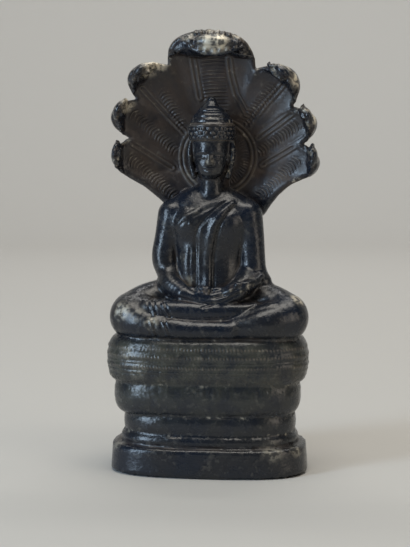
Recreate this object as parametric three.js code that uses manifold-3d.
// A cast bronze figure that sits in meditation on the coils of a naga, under its seven-headed hood.
// Millimetres, +Z up. The figure faces -Y, and the origin is under the middle of the plinth.
import * as THREE from 'three';
import { mergeVertices } from 'three/addons/utils/BufferGeometryUtils.js';
import Module from 'manifold-3d';

const wasm = await Module();
wasm.setup();

// Driving dimensions
const PLINTH = { halfWidth: 40.7, halfDepth: 23, height: 11.6, corner: 3.0, draft: 0.8, edge: 1.3, x: -0.5 };
const COIL_CORNER = 2.7;
// The four coils from the plinth up. Under and over are how far the grooves at a coil's two edges lie behind
// its face.
const COILS = [
  { bottom: 11.6, top: 16.4, halfWidth: 36.6, halfDepth: 20.4, under: 1.6, over: 2.0, steps: 3, x: -0.4 },
  { bottom: 16.4, top: 24.0, halfWidth: 35.6, halfDepth: 19.4, under: 1.0, over: 1.0, steps: 3, x: -0.3 },
  { bottom: 24.0, top: 37.4, halfWidth: 38.6, halfDepth: 20.7, under: 3.9, over: 1.4, steps: 4, x: -1.3 },
  { bottom: 37.4, top: 55.4, halfWidth: 41.7, halfDepth: 22.0, under: 2.9, over: 3.6, steps: 5, x: -1.2 },
];
const FIGURE_X = -0.7;
const KNEE = { right: 40.0, left: 40.9, y: -7.0, z: 64.0, radius: 9.5 };
const SHIN = { right: 12.4, y: -17.4, z: 59.6, radius: 4.4 };
// The lap draws in towards its top by the two shares, and its top lies a little back
const LAP = {
  halfWidth: 30, halfDepth: 16.5, bottom: 53, shoulder: 60, top: 72.5, narrows: 0.45, thins: 0.35, back: 1.5,
};
const SHOULDER = { x: 14.9, y: 2, z: 106.0, radius: 7.0 };
const ELBOW = { x: 17.6, y: 1.5, z: 83.0, radius: 5.7 };
const WRIST = { x: 9.0, y: -11.8, z: 73.4, radius: 3.6 };
const NECK_RADIUS = 5.0;
const HEAD = { x: 0.3, chin: 119.8, band: 134.8, top: 143.4 };
const FINIAL_TOP = 152.9;
const HOOD = { x: 0.6, z: 128.5, front: 10.0, thickness: 5.0, curl: 8.5, neckRise: 1.6, foot: 98 };
const HALO = { x: 2.0, radius: 15.0, width: 1.8, rise: 0.7 };
const CREST = { halfWidth: 6.2, x: -1.4, top: 180 };
const CURL = { places: [-10.4, 10.2], z: 174, radius: 2.3 };
const BROW = { y: 3.6, halfDepth: 6.6 };
// Snouts: depth, and their height, and how high they sit on their head as shares of it
const SNOUT = { y: -1.6, halfDepth: 4.8, halfWidth: 4.0, share: 0.36, seat: 0.48 };
const TOP_SNOUT = { halfWidth: 8.0, angle: 1 };
const TOP_LOBE = 3;
// How far a naga head stands out past the hood's own edge
const LIP = 0.8;
// How much of the way from its lobe's peak to the notches a naga head covers
const HEAD_SPREAD = 0.93;

// The hood's edge, as degrees from straight up and how far out. Degrees below zero are on the figure's right.
const NOTCHES = [
  [-104, 36.2], [-77.5, 35.9], [-53.5, 39.8], [-26.5, 42.0], [26, 39.5], [58, 38.3], [82, 37.4], [104, 38.0],
];
// The lobes between the notches, each with how far out its head starts and how full its two sides are
const LOBES = [
  { peak: -91, tip: 41.9, low: 37.4, full: [1.5, 1.6] },
  { peak: -66, tip: 45.5, low: 39.8, full: [2.7, 1.6] },
  { peak: -43, tip: 48.7, low: 42.0, full: [2.7, 1.6] },
  { peak: -8, tip: 51.2, low: 40.8, full: [4, 4.5] },
  { peak: 43, tip: 47.7, low: 41.0, full: [1.6, 2.4] },
  { peak: 70.5, tip: 44.7, low: 39.6, full: [1.6, 2.0] },
  { peak: 93, tip: 43.7, low: 38.6, full: [1.6, 2.4] },
];
// Under the lobes: degrees from straight up, and how far out on the figure's right and on its left
const LOWER_EDGE = [
  [104, 36.2, 38.0],
  [109, 33.3, 34.4],
  [114, 31.2, 32.5],
  [121, 29.7, 31.2],
  [130, 28.7, 30.8],
  [140, 29.0, 31.7],
  [155, 30.0, 31.0],
  [180, 30.5, 30.5],
];

const FORWARD = new THREE.Vector3(0.02, -1, 0.01).normalize();

const radians = THREE.MathUtils.degToRad;

// Moves a path of the figure sideways to where the figure sits on the coils
function seated(points) {
  return points.map(([x, y, z]) => [x + FIGURE_X, y, z]);
}

// A closed manifold solid from a three.js geometry, joined by position alone
function solidOf(geometry) {
  geometry.deleteAttribute('normal');
  geometry.deleteAttribute('uv');
  const joined = mergeVertices(geometry, 1e-4);
  const mesh = new wasm.Mesh({
    numProp: 3,
    vertProperties: new Float32Array(joined.attributes.position.array),
    triVerts: new Uint32Array(joined.index.array),
  });
  return new wasm.Manifold(mesh);
}

// Moves every vertex of a geometry to place(vertex), and returns the solid
function reshaped(geometry, place) {
  const positions = geometry.attributes.position;
  const vertex = new THREE.Vector3();
  for (let i = 0; i < positions.count; i += 1) {
    vertex.fromBufferAttribute(positions, i);
    const moved = place(vertex);
    positions.setXYZ(i, moved.x, moved.y, moved.z);
  }
  return solidOf(geometry);
}

// A ball with its poles along Z, stretched to three half sizes and turned about Y by tilt
function ball(centre, halfSizes, around = 16, down = 10, tilt = 0) {
  const geometry = new THREE.SphereGeometry(1, around, down);
  geometry.rotateX(Math.PI / 2);
  geometry.scale(...halfSizes);
  geometry.rotateY(tilt);
  geometry.translate(...centre);
  return solidOf(geometry);
}

// A value between the stations of a table of rows, with an eased curve through them
function between(rows, at, column) {
  const last = rows.length - 1;
  if (at <= rows[0][0]) return rows[0][column];
  if (at >= rows[last][0]) return rows[last][column];
  let k = 0;
  while (rows[k + 1][0] < at) k += 1;
  const before = rows[Math.max(k - 1, 0)];
  const after = rows[Math.min(k + 2, last)];
  const t = (at - rows[k][0]) / (rows[k + 1][0] - rows[k][0]);
  const span = rows[k + 1][0] - rows[k][0];
  const leave = ((rows[k + 1][column] - before[column]) / (rows[k + 1][0] - before[0])) * span;
  const arrive = ((after[column] - rows[k][column]) / (after[0] - rows[k][0])) * span;
  const a = rows[k][column];
  const b = rows[k + 1][column];
  const t2 = t * t;
  const t3 = t2 * t;
  return (2 * t3 - 3 * t2 + 1) * a + (t3 - 2 * t2 + t) * leave + (3 * t2 - 2 * t3) * b + (t3 - t2) * arrive;
}

// A point on a rounded rectangle of the given half sizes. A corner of 2 gives an ellipse, more is squarer.
function roundedPlan(angle, halfWidth, halfDepth, corner) {
  const across = Math.cos(angle);
  const along = Math.sin(angle);
  const power = 2 / corner;
  return [
    halfWidth * Math.sign(across) * Math.abs(across) ** power,
    halfDepth * Math.sign(along) * Math.abs(along) ** power,
  ];
}

// A solid of level sections. section(level, angle) gives [x, y, z], and levels lists the levels from below.
function levelLoft(levels, around, section) {
  const steps = levels.length - 1;
  const geometry = new THREE.CylinderGeometry(1, 1, 1, around, steps);
  return reshaped(geometry, (v) => {
    const level = levels[Math.round((v.y + 0.5) * steps)];
    const angle = Math.atan2(-v.z, v.x);
    const rim = new THREE.Vector3(...section(level, angle));
    if (Math.hypot(v.x, v.z) > 0.5) return rim;
    return rim.add(new THREE.Vector3(...section(level, angle + Math.PI))).multiplyScalar(0.5);
  });
}

// A limb along a smooth path, with a radius for each point and rounded ends. Flat is how thick it is over how
// wide.
function limb(points, radii, sides = 12, steps = 12, flat = 1) {
  const path = new THREE.CatmullRomCurve3(points.map((p) => new THREE.Vector3(...p)));
  const rows = radii.map((radius, i) => [i / (radii.length - 1), radius]);
  const length = path.getLength();
  const geometry = new THREE.SphereGeometry(1, sides, steps);
  return reshaped(geometry, (v) => {
    const polar = Math.acos(THREE.MathUtils.clamp(v.y, -1, 1)) / Math.PI;
    // Steps crowd towards the two ends, where the limb rounds off
    const t = (1 - Math.cos(polar * Math.PI)) / 2 * 0.5 + polar * 0.5;
    const radius = between(rows, t, 1);
    const reach = (Math.min(t, 1 - t) * length) / radius;
    const round = reach < 1 ? Math.sqrt(Math.max(0, 1 - (1 - reach) ** 2)) : 1;
    const around = Math.atan2(v.z, v.x);
    const ahead = path.getTangent(t);
    const side = new THREE.Vector3().crossVectors(ahead, FORWARD).normalize();
    const out = new THREE.Vector3().crossVectors(side, ahead);
    const point = path.getPoint(t);
    point.addScaledVector(side, -radius * round * Math.cos(around));
    return point.addScaledVector(out, radius * flat * round * Math.sin(around));
  });
}

// The plinth and the coils above it, as one stack of level sections
function base() {
  const rings = [
    { z: 0, inset: 0.5, of: PLINTH },
    { z: 0.8, inset: 0, of: PLINTH },
    { z: PLINTH.height - PLINTH.edge, inset: PLINTH.draft, of: PLINTH },
    { z: PLINTH.height, inset: PLINTH.draft + PLINTH.edge, of: PLINTH },
  ];
  for (const coil of COILS) {
    const middle = (coil.bottom + coil.top) / 2;
    const half = (coil.top - coil.bottom) / 2;
    const first = coil === COILS[0] ? 0 : 1;
    for (let k = first; k <= coil.steps; k += 1) {
      const turn = (k / coil.steps - 0.5) * Math.PI;
      const inset = turn < 0 ? coil.under : coil.over;
      rings.push({ z: middle + half * Math.sin(turn), inset: inset * (1 - Math.cos(turn)), of: coil });
    }
  }
  const corner = (z) => (z <= PLINTH.height ? PLINTH.corner : COIL_CORNER);
  return levelLoft(rings, 30, (ring, angle) => {
    const halfWidth = ring.of.halfWidth - ring.inset;
    const halfDepth = ring.of.halfDepth - ring.inset;
    const [across, along] = roundedPlan(angle, halfWidth, halfDepth, corner(ring.z));
    return [across + ring.of.x, along, ring.z];
  });
}

// Crossed legs: the lap, and for each leg its thigh and its shin
function legs() {
  const heights = [LAP.bottom, 58, 63, 67.5, 70.8, LAP.top];
  const lap = levelLoft(heights, 20, (z, angle) => {
    const rise = Math.max(0, (z - LAP.shoulder) / (LAP.top - LAP.shoulder)) ** 2;
    const halfWidth = LAP.halfWidth * (1 - LAP.narrows * rise);
    const [x, y] = roundedPlan(angle, halfWidth, LAP.halfDepth * (1 - LAP.thins * rise), 2.6);
    return [x + FIGURE_X, y + LAP.back * rise, z];
  });
  const rightThigh = [[-12, 3, 71.6], [-24, -0.5, 67.0], [2 - KNEE.right, KNEE.y + 2, KNEE.z + 0.4]];
  const leftThigh = [[12, 3, 72.2], [24, -0.5, 67.8], [KNEE.left - 2, KNEE.y + 2, KNEE.z + 0.6]];
  const frontShin = [
    [-KNEE.right, KNEE.y - 1.5, KNEE.z - 0.4],
    [-26, -13.6, 61.8],
    [-9, SHIN.y, SHIN.z],
    [SHIN.right, SHIN.y, SHIN.z - 0.4],
  ];
  const upperShin = [
    [-KNEE.right + 2, KNEE.y - 1, KNEE.z + 1.4],
    [-19, -13.0, 66.6],
    [0, -13.8, 66.4],
    [20, -11.5, 66.2],
  ];
  const backShin = [
    [KNEE.left, KNEE.y - 1.5, KNEE.z - 0.6],
    [26, -13.4, 62.0],
    [11, -14.4, 60.2],
  ];
  return [
    lap,
    // The lap's middle, which closes the space between the thighs
    ball([FIGURE_X, -1.5, 66], [29, 13, 9.6], 10, 6),
    limb(seated(rightThigh), [7.6, 8.7, KNEE.radius], 10, 6),
    limb(seated(leftThigh), [7.6, 8.9, KNEE.radius], 10, 6),
    limb(seated(frontShin), [KNEE.radius, 7.4, SHIN.radius, 3.8], 10, 11),
    limb(seated(upperShin), [7.4, 4.8, 4.2, 3.4], 8, 8),
    limb(seated(backShin), [KNEE.radius, 7.8, 5.2], 10, 8),
  ];
}

function torso() {
  // Rows of height, half width, front and back
  const rows = [
    [68, 17.5, -8.6, 13.5],
    [78, 14.8, -7.4, 13],
    [87, 14.2, -6.6, 12.5],
    [96, 16.0, -7.6, 13],
    [104, 19.4, -7.4, 13.5],
    [109, 18.2, -5.2, 13],
    [112.6, 14.6, -3.0, 12.5],
    [115.4, 9.6, -1.0, 11.5],
    [117.4, 5.0, 0.6, 10],
  ];
  const heights = [68, 78, 84, 90, 96, 101, 105, 108.5, 111, 113, 115, 117.4];
  return levelLoft(heights, 18, (z, angle) => {
    const front = between(rows, z, 2);
    const back = between(rows, z, 3);
    const [x, y] = roundedPlan(angle, between(rows, z, 1), (back - front) / 2, 2.3);
    return [x + FIGURE_X, y + (front + back) / 2, z];
  });
}

// Both arms, hanging close to the sides and bent to the lap. The right elbow bows out and its underside draws
// in, and the left sleeve hangs straight to the thigh.
function arms() {
  const rightUpper = [
    [-SHOULDER.x, SHOULDER.y, SHOULDER.z],
    [-17.4, 1.8, 94],
    [-ELBOW.x - 0.9, ELBOW.y, ELBOW.z + 4],
    [-ELBOW.x + 3, ELBOW.y - 2, ELBOW.z - 4],
  ];
  const leftUpper = [
    [SHOULDER.x, SHOULDER.y, SHOULDER.z],
    [17.0, 1.8, 94],
    [ELBOW.x + 0.2, ELBOW.y, ELBOW.z + 2],
    [ELBOW.x + 1.4, ELBOW.y - 1, ELBOW.z - 8],
  ];
  const parts = [];
  for (const upperArm of [rightUpper, leftUpper]) {
    parts.push(limb(seated(upperArm), [SHOULDER.radius, 5.5, ELBOW.radius, 4.8], 10, 9));
  }
  for (const side of [-1, 1]) {
    const forearm = [
      [side * (ELBOW.x - 1.4), ELBOW.y - 0.6, ELBOW.z - 1],
      [side * 14.8, -6.0, 77.0],
      [side * WRIST.x, WRIST.y, WRIST.z],
    ];
    parts.push(limb(seated(forearm), [5.2, 4.8, WRIST.radius], 10, 7));
  }
  return parts;
}

// Two open hands, the right laid on the left
function hands() {
  const leftHand = [[-8, -12.4, 71.6], [4, -14.8, 70.2], [14, -11.4, 73.4]];
  const rightHand = [[-10, -12.2, 73.8], [1, -14.2, 72.6], [10, -12.6, 74.0]];
  return [
    limb(seated(leftHand), [2.2, 3.0, 2.6], 8, 8, 1.5),
    limb(seated(rightHand), [2.6, 2.8, 1.8], 8, 8, 1.4),
  ];
}

// Robe: the hem across the chest and the folded cloth that hangs from the left shoulder
function robe() {
  const hem = [
    [9, -1.6, 113.6],
    [4.2, -4.5, 111.8],
    [-3.4, -7.1, 107.6],
    [-10, -7.6, 103.2],
    [-14.0, -5.2, 99.6],
  ];
  const fold = [
    [12.0, -1.8, 111.6],
    [6.4, -6.2, 106.0],
    [0.6, -7.9, 99.6],
    [-1.1, -7.6, 90],
    [-1.3, -8.2, 71],
  ];
  return [
    limb(seated(hem), [0.9, 1.1, 1.2, 1.1, 0.8], 6, 10),
    limb(seated(fold), [3.2, 3.6, 3.4, 3.1, 3.0], 8, 12, 0.45),
  ];
}

// Head, neck, long ears, the hair behind them and the diadem that stands a little proud of the brow
function head() {
  const band = HEAD.band - HEAD.chin;
  const top = HEAD.top - HEAD.chin;
  // Rows of height above the chin, half width, front and back
  const rows = [
    [0, 2.6, -7.0, 3],
    [2.2, 5.0, -8.3, 6],
    [6.2, 6.9, -8.7, 9],
    [11, 7.5, -8.8, 10.5],
    [band, 7.9, -8.6, 10.5],
    [band + 0.7, 9.0, -9.4, 10.5],
    [top - 3, 9.4, -9.2, 10.5],
    [top, 8.9, -8.2, 10],
  ];
  const heights = rows.map((row) => row[0]);
  const skull = levelLoft(heights, 20, (z, angle) => {
    const front = between(rows, z, 2);
    const back = between(rows, z, 3);
    const [x, y] = roundedPlan(angle, between(rows, z, 1), (back - front) / 2, 2.15);
    return [x + HEAD.x, y + (front + back) / 2, z + HEAD.chin];
  });
  const parts = [
    skull,
    limb([[0, 2, 111], [HEAD.x, 0.6, 126]], [5.8, NECK_RADIUS], 12, 5),
    // Hair
    ball([HEAD.x, 4, HEAD.chin + 10], [9.0, 8.2, 12], 12, 6),
    // Nose and mouth
    ball([HEAD.x, -8.6, HEAD.chin + 7.4], [1.3, 1.8, 3.0], 6, 5),
    ball([HEAD.x, -7.2, HEAD.chin + 3.4], [2.0, 1.9, 1.2], 8, 5),
  ];
  for (const side of [-1, 1]) {
    const ear = [
      [HEAD.x + side * 8.2, -1.0, HEAD.chin + 14.0],
      [HEAD.x + side * 8.5, -1.6, HEAD.chin + 8.0],
      [HEAD.x + side * 7.0, -1.6, HEAD.chin + 0.8],
    ];
    parts.push(limb(ear, [1.3, 1.2, 0.9], 6, 7, 1.5));
    parts.push(ball([HEAD.x + side * 3.1, -8.3, HEAD.chin + 9.2], [2.0, 1.1, 0.9], 8, 4));
  }
  return parts;
}

// The tiers of hair above the diadem, which narrow to a bead
function ushnisha() {
  const tiers = [
    { z: HEAD.top - 0.6, radius: 9.1, height: 2.5 },
    { z: HEAD.top + 1.9, radius: 7.5, height: 2.3 },
    { z: HEAD.top + 4.2, radius: 5.6, height: 2.1 },
  ];
  const outline = [new THREE.Vector2(0, HEAD.top - 2), new THREE.Vector2(8.0, HEAD.top - 2)];
  for (const tier of tiers) {
    outline.push(new THREE.Vector2(tier.radius, tier.z + tier.height * 0.2));
    outline.push(new THREE.Vector2(tier.radius - 0.4, tier.z + tier.height * 0.75));
    outline.push(new THREE.Vector2(tier.radius - 1.5, tier.z + tier.height));
  }
  outline.push(new THREE.Vector2(2.0, FINIAL_TOP - 2.6));
  outline.push(new THREE.Vector2(2.2, FINIAL_TOP - 1.3));
  outline.push(new THREE.Vector2(1.2, FINIAL_TOP - 0.3));
  outline.push(new THREE.Vector2(0, FINIAL_TOP));
  const geometry = new THREE.LatheGeometry(outline, 14);
  geometry.rotateX(Math.PI / 2);
  geometry.translate(HEAD.x, 0.4, 0);
  return solidOf(geometry);
}

// The lobe that an angle in degrees falls in, the notch it runs down to, and how near that notch it is, from
// 0 at the lobe's peak to 1. Under the lobes it is null.
function lobeAt(angle) {
  const index = LOBES.findIndex((lobe, k) => angle >= NOTCHES[k][0] && angle <= NOTCHES[k + 1][0]);
  if (index < 0) return null;
  const lobe = LOBES[index];
  const side = angle < lobe.peak ? 0 : 1;
  const notch = NOTCHES[index + side];
  return { lobe, notch, share: (angle - lobe.peak) / (notch[0] - lobe.peak), full: lobe.full[side] };
}

// How far the hood reaches from its centre, at an angle in degrees from straight up
function hoodReach(angle) {
  const at = lobeAt(angle);
  if (at) return at.notch[1] + (at.lobe.tip - LIP - at.notch[1]) * (1 - at.share ** at.full);
  return between(LOWER_EDGE, Math.abs(angle), angle < 0 ? 1 : 2);
}

// The angles, in degrees from straight up, that the hood's outline is drawn at
function hoodAngles() {
  const angles = LOBES.flatMap((lobe, index) => {
    const shares = index === TOP_LOBE ? [0.96, 0.84, 0.64, 0.4] : [0.88, 0.5];
    const start = NOTCHES[index][0];
    const end = NOTCHES[index + 1][0];
    const before = shares.map((share) => lobe.peak + (start - lobe.peak) * share);
    const after = shares.map((share) => lobe.peak + (end - lobe.peak) * share).reverse();
    return [start, ...before, lobe.peak, ...after];
  });
  const under = LOWER_EDGE.map((row) => row[0]);
  return [...under.slice(1, -1).reverse().map((angle) => -angle), ...angles, ...under];
}

// A place on the hood's front view, at an angle in degrees and how far out, and at y from front to back
function hoodPlace(angle, out, y) {
  const turn = radians(angle);
  return new THREE.Vector3(HOOD.x + Math.sin(turn) * out, y, HOOD.z + Math.cos(turn) * out);
}

// The hood: a dished sheet of seven rounded necks with a scalloped edge that curls forward
function hood() {
  const angles = hoodAngles();
  const geometry = new THREE.SphereGeometry(1, angles.length, 7);
  return reshaped(geometry, (v) => {
    const polar = Math.acos(THREE.MathUtils.clamp(v.y, -1, 1));
    const slot = Math.round((Math.atan2(-v.z, -v.x) / (2 * Math.PI)) * angles.length);
    const angle = angles[(slot + angles.length) % angles.length];
    const spread = Math.sin(polar) ** 0.75;
    const out = hoodReach(angle) * spread;
    const open = THREE.MathUtils.smoothstep(Math.cos(radians(angle)) * out, HOOD.foot - HOOD.z, -6);
    const curl = HOOD.curl * spread ** 3.2 * open;
    const at = lobeAt(angle);
    const rise = at ? HOOD.neckRise * (1 - at.share ** 2) * THREE.MathUtils.smoothstep(spread, 0.3, 0.6) : 0;
    const edge = Math.abs(Math.cos(polar)) ** 0.5;
    const middle = HOOD.front + HOOD.thickness / 2 - curl;
    const half = (HOOD.thickness / 2 + rise) * edge;
    return hoodPlace(angle, out, polar < Math.PI / 2 ? middle - half : middle + half);
  });
}

// One naga head that leans forward from its lobe. Its domed brow keeps the lobe's outline, and its snout
// stands in front of that.
function nagaHead(lobe, index) {
  const isTop = index === TOP_LOBE;
  const middle = hoodPlace(lobe.peak, (lobe.tip + lobe.low) / 2, BROW.y);
  const brow = reshaped(new THREE.SphereGeometry(1, isTop ? 16 : 12, 5), (v) => {
    const spread = Math.hypot(v.x, v.z);
    if (spread < 0.01) return middle.clone().setY(BROW.y + v.y * BROW.halfDepth);
    const across = v.x / spread;
    const reach = across < 0 ? lobe.peak - NOTCHES[index][0] : NOTCHES[index + 1][0] - lobe.peak;
    const angle = lobe.peak + HEAD_SPREAD * reach * across;
    const edge = hoodReach(angle) + LIP * (1 - across ** 2);
    const out = v.z > 0 ? edge : lobe.low + (edge - lobe.low) * across ** 2;
    return hoodPlace(angle, out, BROW.y).lerp(middle, 1 - spread).setY(BROW.y + v.y * BROW.halfDepth);
  });
  const height = lobe.tip - lobe.low;
  const angle = isTop ? TOP_SNOUT.angle : lobe.peak - 3 * Math.sign(lobe.peak);
  const place = hoodPlace(angle, lobe.low + height * SNOUT.seat, SNOUT.y).toArray();
  const halfWidth = isTop ? TOP_SNOUT.halfWidth : SNOUT.halfWidth;
  const tilt = isTop ? 0 : radians(angle);
  const snout = ball(place, [halfWidth, SNOUT.halfDepth, height * SNOUT.share], 8, 6, tilt);
  return brow.add(snout);
}

// The crest on the top head, and the curl at each side of its snout
function crest() {
  const { halfWidth, x, top } = CREST;
  const ridge = [[x - halfWidth, 2, top - 2.6], [x, 1.6, top - 1.6], [x + halfWidth, 2, top - 2.6]];
  const size = Array(3).fill(CURL.radius);
  const curls = CURL.places.map((place) => ball([place, SNOUT.y + 1, CURL.z], size, 6, 4));
  return [limb(ridge, [1.2, 1.6, 1.2], 6, 7), ...curls];
}

// The raised ring on the hood behind the head
function halo() {
  const inner = HALO.radius - HALO.width / 2;
  const outer = HALO.radius + HALO.width / 2;
  const sunk = -2;
  const outline = [
    new THREE.Vector2(inner, sunk),
    new THREE.Vector2(outer, sunk),
    new THREE.Vector2(outer, HALO.rise * 0.6),
    new THREE.Vector2(HALO.radius, HALO.rise),
    new THREE.Vector2(inner, HALO.rise * 0.6),
    new THREE.Vector2(inner, sunk),
  ];
  const geometry = new THREE.LatheGeometry(outline, 20);
  geometry.rotateX(Math.PI);
  geometry.translate(HALO.x, HOOD.front, HOOD.z);
  return solidOf(geometry);
}

// The naga's body that rises behind the back to the hood
function trunk() {
  // Rows of height, half width, front and back
  const rows = [
    [50, 18, 0, 18.5],
    [66, 16.5, 2, 18.5],
    [84, 15.5, 3, 17.8],
    [100, 17.5, 5, 17],
    [112, 16, 8, 16.6],
    [124, 11, 10, 16],
    [134, 5, 11, 15],
  ];
  const heights = [50, 60, 71, 82, 92, 102, 112, 123, 134];
  return levelLoft(heights, 14, (z, angle) => {
    const front = between(rows, z, 2);
    const back = between(rows, z, 3);
    const [x, y] = roundedPlan(angle, between(rows, z, 1), (back - front) / 2, 2.3);
    return [x + FIGURE_X / 2, y + (front + back) / 2, z];
  });
}

function casting() {
  const figure = [...legs(), torso(), ...arms(), ...hands(), ...robe(), ...head(), ushnisha()];
  const naga = [trunk(), hood(), halo(), ...LOBES.map(nagaHead), ...crest()];
  return [...figure, ...naga].reduce((whole, part) => whole.add(part), base());
}

function geometryOf(solid) {
  const mesh = solid.getMesh();
  const geometry = new THREE.BufferGeometry();
  geometry.setAttribute('position', new THREE.BufferAttribute(mesh.vertProperties, 3));
  geometry.setIndex(new THREE.BufferAttribute(mesh.triVerts, 1));
  return geometry;
}

const bronze = new THREE.MeshStandardMaterial({ color: 0x2b2a2c, roughness: 0.42, metalness: 0.9 });
const figure = new THREE.Mesh(geometryOf(casting()), bronze);
figure.name = 'naga_buddha_casting';

const group = new THREE.Group();
group.add(figure);
export default group;
